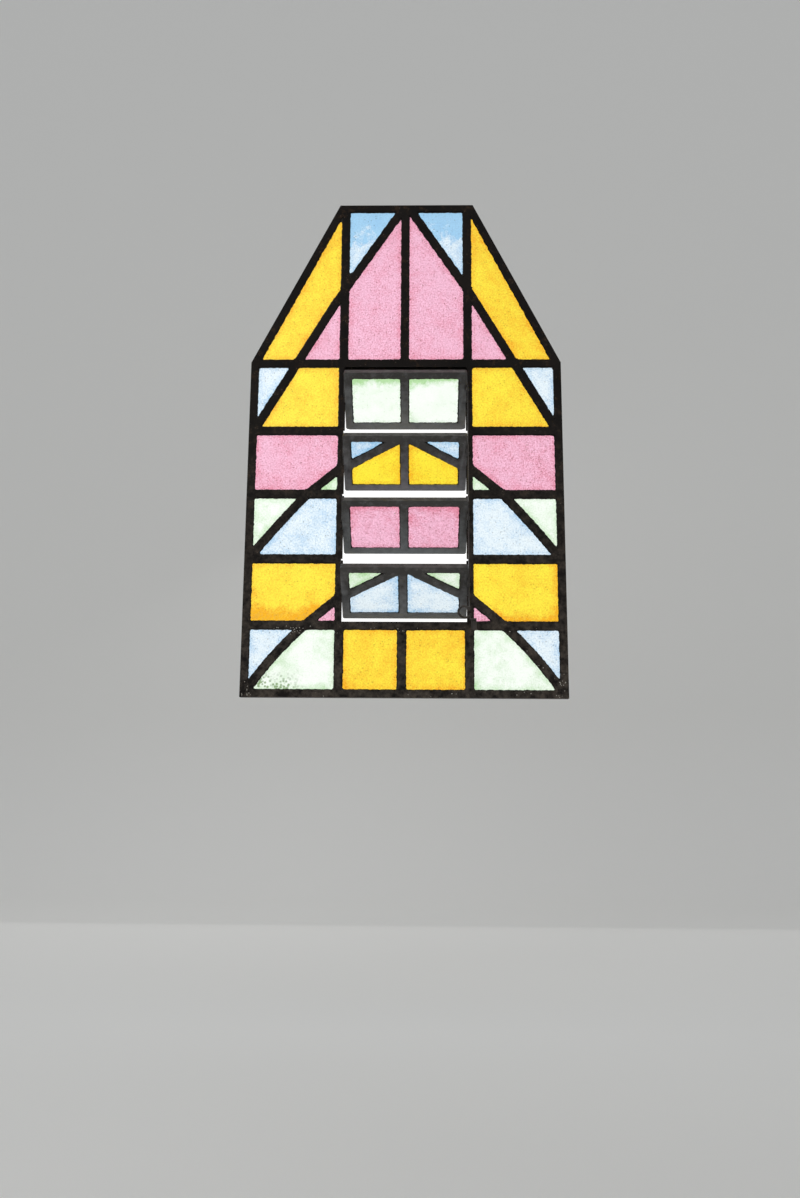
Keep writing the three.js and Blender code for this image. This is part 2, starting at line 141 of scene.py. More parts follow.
def throughNodes(piece, tree, values):
    # runs a piece through a node tree and keeps the result as its plain mesh
    modifier = piece.modifiers.new("made", "NODES")
    modifier.node_group = tree
    for item in tree.interface.items_tree:
        if item.in_out == "INPUT" and item.name in values:
            modifier[item.identifier] = values[item.name]
    depsgraph = bpy.context.evaluated_depsgraph_get()
    made = bpy.data.meshes.new_from_object(piece.evaluated_get(depsgraph), depsgraph=depsgraph)
    piece.modifiers.remove(modifier)
    old = piece.data
    piece.data = made
    bpy.data.meshes.remove(old)


def addPiece(name, bm, material, body, nodes=(), tree=None, values=None, upright=None):
    # makes a piece from a bmesh, if need be through a node tree, and hands it to its body
    mesh = bpy.data.meshes.new(name)
    bm.to_mesh(mesh)
    bm.free()
    piece = bpy.data.objects.new(name, mesh)
    scene.collection.objects.link(piece)
    if tree:
        throughNodes(piece, tree, {**values, "Material": material})
    else:
        mesh.materials.append(material)
    if upright:
        piece.data.transform(upright.inverted())
    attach(piece, body)
    if nodes:
        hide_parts(*nodes)
    return piece


# steel: rolled sections under brushed enamel
steelLook = {
    "lattice": {"colour": "#14110f", "worn": "#231d1a", "dust": "#8d8378", "rust": "#54402f",
                "roughness": 0.62, "gloss": 0.12, "film": "#5c544c", "filmTop": 0.95},
    # on the vents, the last grey is painted light: the lower rails are painted lighter, as if lit by the
    # bright floor below
    "vents": {"colour": "#3c3a38", "worn": "#4a4745", "dust": "#a09a92", "rust": "#54402f",
              "roughness": 0.46, "gloss": 0.4, "washed": "#8e9092"},
    "gear": {"colour": "#2b2725", "worn": "#544c45", "dust": "#8d857a", "rust": "#54402f",
             "roughness": 0.45, "gloss": 0.35},
}


def makeEnamel(name, look):
    # old oil enamel brushed on steel: satin, uneven, dusty on top and rusty where it has chipped
    material, tree, shader, place = newMaterial(name)
    # clouds 110 mm across, brush marks 2.4 mm apart and patches of 22 mm
    broad = addNode(tree, "ShaderNodeTexNoise", {"Vector": place, "Scale": 9, "Detail": 5})
    grain = addNode(tree, "ShaderNodeTexNoise", {"Vector": place, "Scale": 420, "Detail": 4})
    patches = addNode(tree, "ShaderNodeTexNoise",
                      {"Vector": place, "Scale": 46, "Detail": 6, "Roughness": 0.65})
    lighter = addNode(tree, "ShaderNodeMapRange", (broad, 0.35, 0.7))
    colour = addNode(tree, "ShaderNodeMix",
                     {0: lighter, 6: linear(look["colour"]), 7: linear(look["worn"])}, 2, data_type="RGBA")
    # dust lies on what faces up, and rust shows where an edge has chipped
    normal = addNode(tree, "ShaderNodeNewGeometry", output="Normal")
    upward = addNode(tree, "ShaderNodeSeparateXYZ", (normal,), 2)
    level = addNode(tree, "ShaderNodeMapRange", (upward, 0.5, 1.0, 0.0, 0.8))
    patchy = addNode(tree, "ShaderNodeMapRange", (patches, 0.3, 0.6))
    dust = addNode(tree, "ShaderNodeMath", (level, patchy), operation="MULTIPLY")
    colour = addNode(tree, "ShaderNodeMix",
                     {0: dust, 6: colour, 7: linear(look["dust"])}, 2, data_type="RGBA")
    edge = addNode(tree, "ShaderNodeNewGeometry", output="Pointiness")
    sharp = addNode(tree, "ShaderNodeMapRange", (edge, 0.53, 0.6, 0.0, 0.45))
    wear = addNode(tree, "ShaderNodeMapRange", (patches, 0.55, 0.72))
    chipped = addNode(tree, "ShaderNodeMath", (sharp, wear), operation="MULTIPLY")
    colour = addNode(tree, "ShaderNodeMix",
                     {0: chipped, 6: colour, 7: linear(look["rust"])}, 2, data_type="RGBA")
    if "film" in look:  # a film of plaster dust that thickens towards the sill
        height = addNode(tree, "ShaderNodeSeparateXYZ", (place,), 2)
        lower = addNode(tree, "ShaderNodeMapRange", (height, look["filmTop"], 0.0, 0.0, 0.75))
        patchy = addNode(tree, "ShaderNodeMapRange", (patches, 0.38, 0.62))
        film = addNode(tree, "ShaderNodeMath", (lower, patchy), operation="MULTIPLY")
        colour = addNode(tree, "ShaderNodeMix",
                         {0: film, 6: colour, 7: linear(look["film"])}, 2, data_type="RGBA")
    if "washed" in look:  # painted light: the lower rails are painted lighter grey, standing in for light from the bright floor below
        low = addNode(tree, "ShaderNodeAttribute", output="Fac", attribute_name="low")
        uneven = addNode(tree, "ShaderNodeMapRange", (patches, 0.3, 0.7, -0.25, 0.25))
        low = addNode(tree, "ShaderNodeMath", (low, uneven), operation="ADD", use_clamp=True)
        colour = addNode(tree, "ShaderNodeMix",
                         {0: low, 6: colour, 7: linear(look["washed"])}, 2, data_type="RGBA")
    # flecks of dust about 7 mm apart
    fleck = addNode(tree, "ShaderNodeTexVoronoi", {"Vector": place, "Scale": 140}, "Distance")
    small = addNode(tree, "ShaderNodeMapRange", (fleck, 0.16, 0.1, 0.0, 0.5))
    some = addNode(tree, "ShaderNodeMapRange", (patches, 0.5, 0.62))
    specks = addNode(tree, "ShaderNodeMath", (small, some), operation="MULTIPLY")
    colour = addNode(tree, "ShaderNodeMix",
                     {0: specks, 6: colour, 7: linear(look["dust"])}, 2, data_type="RGBA")
    tree.links.new(colour, shader.inputs["Base Color"])
    rough = addNode(tree, "ShaderNodeMapRange",
                    (patches, 0.3, 0.75, look["roughness"] - 0.1, look["roughness"] + 0.16))
    tree.links.new(rough, shader.inputs["Roughness"])
    bumps = addNode(tree, "ShaderNodeMath", (grain, 0.25, patches), operation="MULTIPLY_ADD")
    bump = addNode(tree, "ShaderNodeBump", {"Height": bumps, "Strength": 0.35, "Distance": 0.4 * mm})
    tree.links.new(bump, shader.inputs["Normal"])
    shader.inputs["IOR"].default_value = 1.5
    shader.inputs["Specular IOR Level"].default_value = look["gloss"]
    return material


enamels = {key: makeEnamel(f"brushed_enamel_on_{key}", look) for key, look in steelLook.items()}

steelSetup = {
    "merge": 0.02 * mm,             # points closer than this are one
    "flat": math.radians(0.6),      # faces within this angle are one
    "rounding": 0.45 * mm,          # of every edge sharper than the next angle
    "sharp": math.radians(35),
    "washAtPivot": 0.15,            # how much painted light greys a vent at its pivot's height
    "washPerMetre": 9,              # and how fast that grows downwards
}
steelPieces = {
    "frame": {"name": "steel_lattice", "look": "lattice", "body": "frame_body", "slot": "frame_paint"},
    "vent_1": {"name": "vent_frame_1", "look": "vents", "body": "vent_1_body", "slot": "vent_paint"},
    "vent_2": {"name": "vent_frame_2", "look": "vents", "body": "vent_2_body", "slot": "vent_paint"},
    "vent_3": {"name": "vent_frame_3", "look": "vents", "body": "vent_3_body", "slot": "vent_paint"},
    "vent_4": {"name": "vent_frame_4", "look": "vents", "body": "vent_4_body", "slot": "vent_paint"},
    "operating_bar": {"name": "pull_bar", "look": "gear", "body": "bar_body", "slot": "gear_steel"},
    "lever": {"name": "hand_lever", "look": "gear", "body": "lever_body", "slot": "gear_steel"},
}
steelTrees = {}
ventAngle = math.radians(49)  # how far the vents stand open at rest
ventPivots = {joint["child"]: Vector(joint["pos_m"]) for joint in frame["record"]["behaviour"]["joints"]
              if joint["child"].startswith("vent_")}


def standing(body):
    # turns what a tilted vent carries upright about its pivot
    if body not in ventPivots:
        return Matrix.Identity(4)
    pivot = ventPivots[body]
    return Matrix.Translation(pivot) @ Matrix.Rotation(-ventAngle, 4, "X") @ Matrix.Translation(-pivot)


def mergedCopy(node):
    bm = bmesh.new()
    bm.from_mesh(frame["nodes"][node].data)
    bmesh.ops.remove_doubles(bm, verts=bm.verts, dist=steelSetup["merge"])
    return bm


def joinFlatFaces(bm):
    bmesh.ops.dissolve_limit(bm, angle_limit=steelSetup["flat"], verts=bm.verts, edges=bm.edges)


def addSteel(node, about):
    # the solid's own shape with eased edges; "low" says how far down on its vent each point lies, which sets
    # the painted light on the lower rails
    bm = mergedCopy(node)
    steelTrees[node] = BVHTree.FromBMesh(bm)
    joinFlatFaces(bm)
    upright = standing(about["body"])
    lowLayer = bm.verts.layers.float.new("low")
    for vert in bm.verts:
        height = (upright @ vert.co).z - ventPivots.get(about["body"], Vector()).z
        vert[lowLayer] = min(max(steelSetup["washAtPivot"] - steelSetup["washPerMetre"] * height, 0), 1)
    piece = addPiece(about["name"], bm, enamels[about["look"]], about["body"], [node])
    bevel = piece.modifiers.new("rounded", "BEVEL")
    bevel.width = steelSetup["rounding"]
    bevel.segments = 2
    bevel.limit_method = "ANGLE"
    bevel.angle_limit = steelSetup["sharp"]


for node, about in steelPieces.items():
    addSteel(node, about)
print("steel done:", len(steelPieces), "pieces")


# weld beads and plaster splashes
lumpSetup = {
    "bead": 3.4 * mm,           # radius of a weld bead in the corner of two bars
    "beadFlatness": 0.42,
    "beadLeast": 0.8,           # the smallest bead, as a share of the radius
    "splash": 1.5 * mm,
    "splashFlatness": 0.35,
    "splashLeast": 0.3,
    "splashSeed": 2.0,
    "largest": 1.3,             # the largest lump of either kind, as a share of its radius
    "unevenness": 0.25,         # how much of its thickness a lump goes in and out
    "seed": 7,
}
# how the corner of two bars is found on the side towards the room
cornerSetup = {
    "facing": 0.99,             # how squarely a face looks into the room
    "samePlane": 0.05 * mm,
    "leastBend": 0.35,          # below this the two sides run nearly straight on
    "leastSide": 8 * mm,        # a shorter side is part of a small rounding
    "probeOut": 1.5 * mm,       # from here a ray looks for steel, and an opening has none
    "probeBack": 5 * mm,
    "probeLength": 7 * mm,
    "leastShare": 0.04,         # guards the division in a very narrow corner
    "farthest": 1.7,            # a bead's place, at most, in radii from its corner
    "sunk": 1.5 * mm,           # behind the face
}
# the way the vents swing through, which is kept free of beads on the lattice
ventWay = {"halfWidth": 0.197, "bottom": 0.19, "top": 1.01}
# where plaster was splashed on the room side: middle, spread both ways, how many
splashAreas = {
    "left foot": {"middle": (-0.452, 0.004), "spread": (0.012, 0.02), "count": 26},
    "right foot": {"middle": (0.45, 0.012), "spread": (0.012, 0.05), "count": 34},
    "right arch": {"middle": (0.39, 0.09), "spread": (0.04, 0.06), "count": 30},
    "left arch": {"middle": (-0.33, 0.195), "spread": (0.03, 0.008), "count": 30},
    "cross line": {"middle": (0.04, 0.193), "spread": (0.2, 0.006), "count": 40},
    "sill": {"middle": (0.0, 0.0), "spread": (0.3, 0.006), "count": 24},
}


def lumpTree():
    # a small uneven lump on every point it is given
    tree, given = newNodeTree("lumps", {"Lump Size": 2 * mm, "Flatness": 0.5, "Least": 0.7, "Seed": 1.0})
    ball = addNode(tree, "GeometryNodeMeshIcoSphere", {"Radius": 1.0, "Subdivisions": 2})
    seed = given["Seed"]
    share = addNode(tree, "FunctionNodeRandomValue",
                    {2: given["Least"], 3: lumpSetup["largest"], 8: seed}, 1, data_type="FLOAT")
    size = addNode(tree, "ShaderNodeMath", (share, given["Lump Size"]), operation="MULTIPLY")
    flat = addNode(tree, "ShaderNodeMath", (given["Lump Size"], given["Flatness"]), operation="MULTIPLY")
    scale = addNode(tree, "ShaderNodeCombineXYZ", (size, flat, given["Lump Size"]))
    turn = addNode(tree, "FunctionNodeRandomValue", {2: 0.0, 3: 6.28, 8: seed}, 1, data_type="FLOAT")
    turn = addNode(tree, "ShaderNodeCombineXYZ", (0.0, turn, 0.0))
    lumps = addNode(tree, "GeometryNodeInstanceOnPoints",
                    {"Points": given["Geometry"], "Instance": ball, "Rotation": turn, "Scale": scale})
    lumps = addNode(tree, "GeometryNodeRealizeInstances", (lumps,))
    normal = addNode(tree, "GeometryNodeInputNormal")
    rough = addNode(tree, "ShaderNodeTexNoise", {"W": seed, "Scale": 500.0}, noise_dimensions="4D")
    rough = addNode(tree, "ShaderNodeMapRange",
                    (rough, 0.3, 0.7, -lumpSetup["unevenness"], lumpSetup["unevenness"]))
    rough = addNode(tree, "ShaderNodeMath", (rough, flat), operation="MULTIPLY")
    offset = addNode(tree, "ShaderNodeVectorMath", {0: normal, "Scale": rough}, operation="SCALE")
    lumps = addNode(tree, "GeometryNodeSetPosition", {"Geometry": lumps, "Offset": offset})
    lumps = addNode(tree, "GeometryNodeSetShadeSmooth", (lumps,))
    return finishNodeTree(tree, lumps, given["Material"])


def barCorners(node, upright):
    # the corners of the openings between the bars, on the side towards the room
    setup = cornerSetup
    bm = mergedCopy(node)
    bmesh.ops.transform(bm, matrix=upright, verts=bm.verts)
    joinFlatFaces(bm)
    tree = BVHTree.FromBMesh(bm)
    flat = [f for f in bm.faces if f.normal.y < -setup["facing"]]
    widest = max(flat, key=lambda f: f.calc_area())
    face = widest.calc_center_median().y
    inPlane = {f for f in flat if abs(f.calc_center_median().y - face) < setup["samePlane"]}
    found = []
    for vert in bm.verts:
        rim = [e for e in vert.link_edges if sum(f in inPlane for f in e.link_faces) == 1]
        if len(rim) != 2 or abs(vert.co.y - face) > setup["samePlane"]:
            continue
        one, two = [(e.other_vert(vert).co - vert.co).normalized() for e in rim]
        middle = one + two
        if middle.length < setup["leastBend"] or min(e.calc_length() for e in rim) < setup["leastSide"]:
            continue
        middle.normalize()
        probe = vert.co + middle * setup["probeOut"] - Vector((0, setup["probeBack"], 0))
        if tree.ray_cast(probe, Vector((0, 1, 0)), setup["probeLength"])[0] is None:
            half = math.sqrt(max(setup["leastShare"], (1 - one.dot(two)) / 2))
            reach = min(0.5 * lumpSetup["bead"] / half, setup["farthest"] * lumpSetup["bead"])
            found.append(vert.co + middle * reach + Vector((0, setup["sunk"], 0)))
    bm.free()
    return found


def scatterLumps(name, points, material, body, values, upright):
    bm = bmesh.new()
    for point in points:
        bm.verts.new(point)
    addPiece(name, bm, material, body, (), lumps, values, upright)


plasterLook = {"dark": "#8d877d", "light": "#c9c4b9", "roughness": 0.9}


def makePlaster():
    # splashes of lime plaster: matt, chalky, greyed by dust in patches of 8 mm
    material, tree, shader, place = newMaterial("splashed_lime_plaster")
    patches = addNode(tree, "ShaderNodeTexNoise", {"Vector": place, "Scale": 120, "Detail": 4})
    tone = addNode(tree, "ShaderNodeMapRange", (patches, 0.3, 0.7))
    colour = addNode(tree, "ShaderNodeMix",
                     {0: tone, 6: linear(plasterLook["dark"]), 7: linear(plasterLook["light"])}, 2,
                     data_type="RGBA")
    tree.links.new(colour, shader.inputs["Base Color"])
    bump = addNode(tree, "ShaderNodeBump", {"Height": patches, "Strength": 0.4, "Distance": 0.3 * mm})
    tree.links.new(bump, shader.inputs["Normal"])
    shader.inputs["Roughness"].default_value = plasterLook["roughness"]
    return material


def splashPoints():
    # where plaster thrown from the room lands on the lattice, clear of the edges of sill and jambs
    rng = np.random.default_rng(lumpSetup["seed"])
    clear = 1.5 * lumpSetup["splash"]
    found = []
    for area in splashAreas.values():
        places = rng.normal(area["middle"], area["spread"], (area["count"], 2))
        for x, z in places:
            if z < cadLow[2] + clear or abs(x) > cadHigh[0] - clear:
                continue
            start = Vector((x, -200 * mm, z))
            point, normal, _, _ = steelTrees["frame"].ray_cast(start, Vector((0, 1, 0)), 400 * mm)
            if point is not None and normal.y < -0.9:
                found.append(point)
    return found


lumps = lumpTree()
beadValues = {"Lump Size": lumpSetup["bead"], "Flatness": lumpSetup["beadFlatness"],
              "Least": lumpSetup["beadLeast"], "Seed": float(lumpSetup["seed"])}
splashValues = {"Lump Size": lumpSetup["splash"], "Flatness": lumpSetup["splashFlatness"],
                "Least": lumpSetup["splashLeast"], "Seed": lumpSetup["splashSeed"]}
beadCount = 0
for node, about in steelPieces.items():
    if about["look"] == "gear":
        continue
    upright = standing(about["body"])
    corners = barCorners(node, upright)
    if node == "frame":
        corners = [c for c in corners if abs(c.x) > ventWay["halfWidth"]
                   or c.z < ventWay["bottom"] or c.z > ventWay["top"]]
    beadCount += len(corners)
    scatterLumps("weld_beads_" + node, corners, enamels[about["look"]], about["body"],
                 beadValues, upright)
scatterLumps("plaster_splashes", splashPoints(), makePlaster(), "frame_body",
             splashValues, Matrix.Identity(4))
print("weld beads and plaster done:", beadCount, "beads")


# washers that fill the space between each vent and its mullion
washerSetup = {
    "middle": 9.6 * mm,     # radius of the washer's middle line
    "width": 5.6 * mm,
    "thickness": 2.7 * mm,
    "place": 186.9 * mm,    # from the middle of the window
}


def washerTree():
    # a flat ring round the level axis on every point it is given
    tree, given = newNodeTree("washers", {"Middle Radius": 9 * mm, "Width": 5 * mm, "Thickness": 2 * mm})
    ring = addNode(tree, "GeometryNodeCurvePrimitiveCircle",
                   {"Resolution": 40, "Radius": given["Middle Radius"]})
    section = addNode(tree, "GeometryNodeCurvePrimitiveQuadrilateral", (given["Width"], given["Thickness"]))
    washer = addNode(tree, "GeometryNodeCurveToMesh", {"Curve": ring, "Profile Curve": section})
    turned = addNode(tree, "GeometryNodeTransform", {"Geometry": washer, "Rotation": (0, math.pi / 2, 0)})
    placed = addNode(tree, "GeometryNodeInstanceOnPoints", {"Points": given["Geometry"], "Instance": turned})
    return finishNodeTree(tree, placed, given["Material"])


bm = bmesh.new()
for pivot in ventPivots.values():
    for side in (-1, 1):
        bm.verts.new((side * washerSetup["place"], pivot.y, pivot.z))
washerValues = {"Middle Radius": washerSetup["middle"], "Width": washerSetup["width"],
                "Thickness": washerSetup["thickness"]}
addPiece("pivot_washers", bm, enamels["gear"], "frame_body", (), washerTree(), washerValues)
print("washers done:", 2 * len(ventPivots))


# glass
glassLook = {
    "yellow": {"light": "#ffee3e", "deep": "#f59600", "speckle": 0.26,
               "valley": 0.3, "shade": "#c08a30", "soot": 0.6},
    "pink": {"light": "#ffc4df", "deep": "#e6768f", "speckle": 0.34,
             "valley": 0.5, "shade": "#8b8078", "soot": 0.9},
    "blue": {"light": "#eef9ff", "deep": "#74b6ea", "speckle": 0.3,
             "valley": 0.3, "shade": "#88949c", "soot": 0.7},
    "green": {"light": "#f9fff8", "deep": "#90cc78", "speckle": 0.2,
              "valley": 0.1, "shade": "#8b8f80", "soot": 0.25},
}
glassDirt = {
    "soot": "#7a6a54",
    "algae": "#4d6f3a",
    "lap": "#1f1a16",       # putty and paint that lap over the glass
}
stippleSetup = {
    "grid": 2.4 * mm,       # spacing of the mesh over a pane
    "rimGap": 0.6,          # of that spacing, between the rim and the first points inside
    "pimple": 5 * mm,       # size of a rolled-in pimple
    "depth": 0.07 * mm,
}


def makeGlass(colourName, look):
    # rolled cathedral glass: one side is stippled by the roller, so it glows but shows nothing through it
    material, tree, shader, place = newMaterial(f"stippled_{colourName}_glass")
    steelGap, stain, grime, cover = (
        addNode(tree, "ShaderNodeAttribute", output="Fac", attribute_name=name)
        for name in ("steelGap", "stain", "grime", "cover"))
    # clouds 60 mm and 17 mm across, pimples of 4 to 5 mm and the 10 mm waves of a ragged edge
    broad = addNode(tree, "ShaderNodeTexNoise", {"Vector": place, "Scale": 16, "Detail": 4})
    clouds = addNode(tree, "ShaderNodeTexNoise", {"Vector": place, "Scale": 60, "Detail": 3})
    pimples = addNode(tree, "ShaderNodeTexNoise",
                      {"Vector": place, "Scale": 210, "Detail": 2.5, "Roughness": 0.6})
    ragged = addNode(tree, "ShaderNodeTexNoise", {"Vector": place, "Scale": 95, "Detail": 5})
    # the colour deepens near the steel as painted shade from the bars, in stains and painted shade set pane
    # by pane, and in clouds
    tintAndShade = addNode(tree, "ShaderNodeMapRange", (steelGap, 1 * mm, 22 * mm, 0.5, 0.0))
    for spread in ((broad, 0.35, 0.75, -0.12, 0.3), (clouds, 0.35, 0.65, -0.08, 0.12),
                   (pimples, 0.3, 0.7, -look["speckle"], look["speckle"])):
        change = addNode(tree, "ShaderNodeMapRange", spread)
        tintAndShade = addNode(tree, "ShaderNodeMath", (tintAndShade, change), operation="ADD")
    tintAndShade = addNode(tree, "ShaderNodeMath", (tintAndShade, stain), operation="ADD", use_clamp=True)
    colour = addNode(tree, "ShaderNodeMix",
                     {0: tintAndShade, 6: linear(look["light"]), 7: linear(look["deep"])}, 2, data_type="RGBA")
    # dark valleys between the pimples, where the glass bends the daylight away
    valley = addNode(tree, "ShaderNodeMapRange", (pimples, 0.42, 0.64, 0.0, look["valley"]))
    colour = addNode(tree, "ShaderNodeMix", {0: valley, 6: colour, 7: linear(look["shade"])}, 2,
                     data_type="RGBA", blend_type="MULTIPLY")
    # grains of soot caught in the stipple, about 9 mm apart and drawn coarse enough to show
    soot = addNode(tree, "ShaderNodeTexVoronoi", {"Vector": place, "Scale": 112}, "Distance")
    small = addNode(tree, "ShaderNodeMapRange", (soot, 0.3, 0.16, 0.0, look["soot"]))
    picked = addNode(tree, "ShaderNodeMapRange", (soot.node.outputs["Color"], 0.48, 0.62))
    some = addNode(tree, "ShaderNodeMapRange", (clouds, 0.38, 0.6, 0.15, 1.0))
    dirt = addNode(tree, "ShaderNodeMath", (small, some), operation="MULTIPLY")
    dirt = addNode(tree, "ShaderNodeMath", (dirt, picked), operation="MULTIPLY")
    colour = addNode(tree, "ShaderNodeMix", {0: dirt, 6: colour, 7: linear(glassDirt["soot"])}, 2,
                     data_type="RGBA", blend_type="MULTIPLY")
    # algae, in blots 8 mm apart
    blots = addNode(tree, "ShaderNodeTexVoronoi", {"Vector": place, "Scale": 120}, "Distance")
    blotMask = addNode(tree, "ShaderNodeMapRange", (blots, 0.6, 0.25, 0.0, 1.0))
    grimeMask = addNode(tree, "ShaderNodeMath", (blotMask, grime), operation="MULTIPLY", use_clamp=True)
    colour = addNode(tree, "ShaderNodeMix",
                     {0: grimeMask, 6: colour, 7: linear(glassDirt["algae"])}, 2, data_type="RGBA")
    # putty and paint that lap over the glass, in a ragged line that rounds the corners
    lap = addNode(tree, "ShaderNodeMapRange", (ragged, 0.3, 0.7, 0.34, 0.1))
    putty = addNode(tree, "ShaderNodeMath", (cover, lap), operation="GREATER_THAN")
    colour = addNode(tree, "ShaderNodeMix",
                     {0: putty, 6: colour, 7: linear(glassDirt["lap"])}, 2, data_type="RGBA")
    tree.links.new(colour, shader.inputs["Base Color"])
    through = addNode(tree, "ShaderNodeMath", (1.0, putty), operation="SUBTRACT")
    tree.links.new(through, shader.inputs["Transmission Weight"])
    rough = addNode(tree, "ShaderNodeMapRange", (pimples, 0.3, 0.7, 0.3, 0.5))
    tree.links.new(rough, shader.inputs["Roughness"])
    shader.inputs["IOR"].default_value = 1.52
    shader.inputs["Specular IOR Level"].default_value = 0.25
    return material


glasses = {key: makeGlass(key, look) for key, look in glassLook.items()}


def stippleTree():
    # pushes the room side of a pane in by a fine random relief
    tree, given = newNodeTree("rolled_stipple", {"Depth": stippleSetup["depth"],
                                                 "Pimple Size": stippleSetup["pimple"], "Seed": 3.0})
    place = addNode(tree, "GeometryNodeInputPosition")
    scale = addNode(tree, "ShaderNodeMath", (1.0, given["Pimple Size"]), operation="DIVIDE")
    cells = addNode(tree, "ShaderNodeTexVoronoi",
                    {"Vector": place, "Scale": scale, "W": given["Seed"]}, "Distance",
                    voronoi_dimensions="4D", feature="SMOOTH_F1")
    fine = addNode(tree, "ShaderNodeTexNoise",
                   {"Vector": place, "Scale": scale, "W": given["Seed"], "Detail": 2},
                   noise_dimensions="4D")
    both = addNode(tree, "ShaderNodeMath", (cells, fine), operation="ADD")
    both = addNode(tree, "ShaderNodeMath", (both, 0.5), operation="MULTIPLY", use_clamp=True)
    pushed = addNode(tree, "ShaderNodeMath", (both, given["Depth"]), operation="MULTIPLY")
    mask = addNode(tree, "GeometryNodeInputNamedAttribute", {"Name": "relief"}, data_type="FLOAT")
    pushed = addNode(tree, "ShaderNodeMath", (pushed, mask), operation="MULTIPLY")
    offset = addNode(tree, "ShaderNodeCombineXYZ", {1: pushed})
    moved = addNode(tree, "GeometryNodeSetPosition", {"Geometry": given["Geometry"], "Offset": offset})
    return finishNodeTree(tree, moved, given["Material"])


stipple = stippleTree()


def frontOutline(node, upright):
    # a pane's corners in turn, anticlockwise as (x, z), and how far its two sides lie back
    bm = mergedCopy(node)
    bmesh.ops.transform(bm, matrix=upright, verts=bm.verts)
    bm.normal_update()
    faces = [f for f in bm.faces if f.normal.y < -0.9]
    depths = [v.co.y for v in bm.verts]
    inside = set(faces)
    following = {}
    for face in faces:
        for loop in face.loops:
            if loop.link_loop_radial_next.face not in inside:
                following[loop.vert.index] = loop.link_loop_next.vert
    start = next(iter(following))
    outline = []
    index = start
    while True:
        vert = following[index]
        outline.append((vert.co.x, vert.co.z))
        index = vert.index
        if index == start:
            break
    bm.free()
    points = np.array(outline)
    area = np.sum(points[:, 0] * np.roll(points[:, 1], -1) - np.roll(points[:, 0], -1) * points[:, 1])
    if area < 0:
        points = points[::-1]
    keep = []  # corners only
    for i in range(len(points)):
        a, b, c = points[i - 1], points[i], points[(i + 1) % len(points)]
        turn = (b[0] - a[0]) * (c[1] - b[1]) - (b[1] - a[1]) * (c[0] - b[0])
        if abs(turn) > 1e-8:
            keep.append(b)
    return np.array(keep), min(depths), max(depths)


def alongSides(outline, step):
    # points along an outline about one step apart
    made = []
    for i in range(len(outline)):
        a, b = outline[i], outline[(i + 1) % len(outline)]
        count = max(1, int(round(np.linalg.norm(b - a) / step)))
        made += [a + (b - a) * k / count for k in range(count)]
    return np.array(made)


def insidePoints(outline, step, clear):
    # a triangular grid of points inside an outline and clear of its sides
    low, high = outline.min(0), outline.max(0)
    rows = np.arange(low[1], high[1], step * math.sqrt(3) / 2)
    found = []
    for i, z in enumerate(rows):
        xs = np.arange(low[0] + (i % 2) * step / 2, high[0], step)
        found.append(np.stack([xs, np.full_like(xs, z)], 1))
    points = np.concatenate(found)
    inside = np.zeros(len(points), bool)
    nearest = np.full(len(points), 1e9)
    for i in range(len(outline)):
        a, b = outline[i], outline[(i + 1) % len(outline)]
        crosses = (a[1] > points[:, 1]) != (b[1] > points[:, 1])
        if a[1] != b[1]:
            at = a[0] + (points[:, 1] - a[1]) * (b[0] - a[0]) / (b[1] - a[1])
            inside ^= crosses & (points[:, 0] < at)
        d = b - a
        t = np.clip(((points - a) @ d) / (d @ d), 0, 1)
        nearest = np.minimum(nearest, np.linalg.norm(points - a - t[:, None] * d, axis=1))
    return points[inside & (nearest > clear)]


def paneBody(outline, front, back, step):
    # a closed slab with a fine mesh on the room side, whose inner points may be pushed in
    rim = alongSides(outline, step)
    inner = insidePoints(outline, step, stippleSetup["rimGap"] * step)
    points = [Vector(p) for p in np.concatenate([rim, inner])]
    count = len(rim)
    edges = [(i, (i + 1) % count) for i in range(count)]
    # triangles inside the rim only, which is what the 1 asks for
    verts, _, faces, _, _, _ = delaunay_2d_cdt(points, edges, [], 1, 1e-7)
    backFaces = delaunay_2d_cdt(points[:count], edges, [], 1, 1e-7)[2]
    bm = bmesh.new()
    relief = bm.verts.layers.float.new("relief")
    frontVerts = [bm.verts.new((v.x, front, v.y)) for v in verts]
    backVerts = [bm.verts.new((v.x, back, v.y)) for v in points[:count]]
    for vert in frontVerts[count:]:
        vert[relief] = 1.0
    for face in faces:
        bm.faces.new([frontVerts[i] for i in face])
    for face in backFaces:
        bm.faces.new([backVerts[i] for i in reversed(face)])
    for i, j in edges:
        bm.faces.new([frontVerts[j], frontVerts[i], backVerts[i], backVerts[j]])
    bm.normal_update()
    return bm


# deeper or paler colour on some panes, from real stains and from painted shade: the side it starts from, how
# far it reaches, and how strong
paneStainsAndShade = {
    # the head's dark top band is painted shade: the dark soffit outside shows through there
    "head": [("top", 0.46, 1.7), ("all", 1, 0.14)],
    "shoulder": [("all", 1, 0.28)],
    "row1_main": [("all", 1, 0.1), ("side", 0.3, 0.2)],
    "row2_main": [("all", 1, 0.16)],
    "row2_corner": [("all", 1, 0.28)],
    "row3_main_left": [("all", 1, 0.15)],
    "row4_main_left": [("all", 1, 0.1), ("bottom", 0.34, 1.3)],
    "row4_main_right": [("all", 1, 0.05), ("bottom", 0.2, 0.7), ("right", 0.3, 0.4)],
    "row5_main": [("bottom", 0.3, 0.15)],
    "base": [("all", 1, 0.26)],
    "vent1": [("all", 1, -0.3), ("top", 0.26, 1.5)],
    "vent2_corner": [("all", 1, 0.4)],
    "vent2_main": [("all", 1, -0.15), ("inner", 0.3, 0.4)],
    "vent3": [("top", 0.36, 0.85)],
    "vent4_corner": [("all", 1, 0.2)],
    "vent4_main": [("all", 1, -0.03), ("inner", 0.35, 0.3), ("bottom", 0.2, 0.25)],
    "peak": [("bottom", 0.12, 0.2)],
}
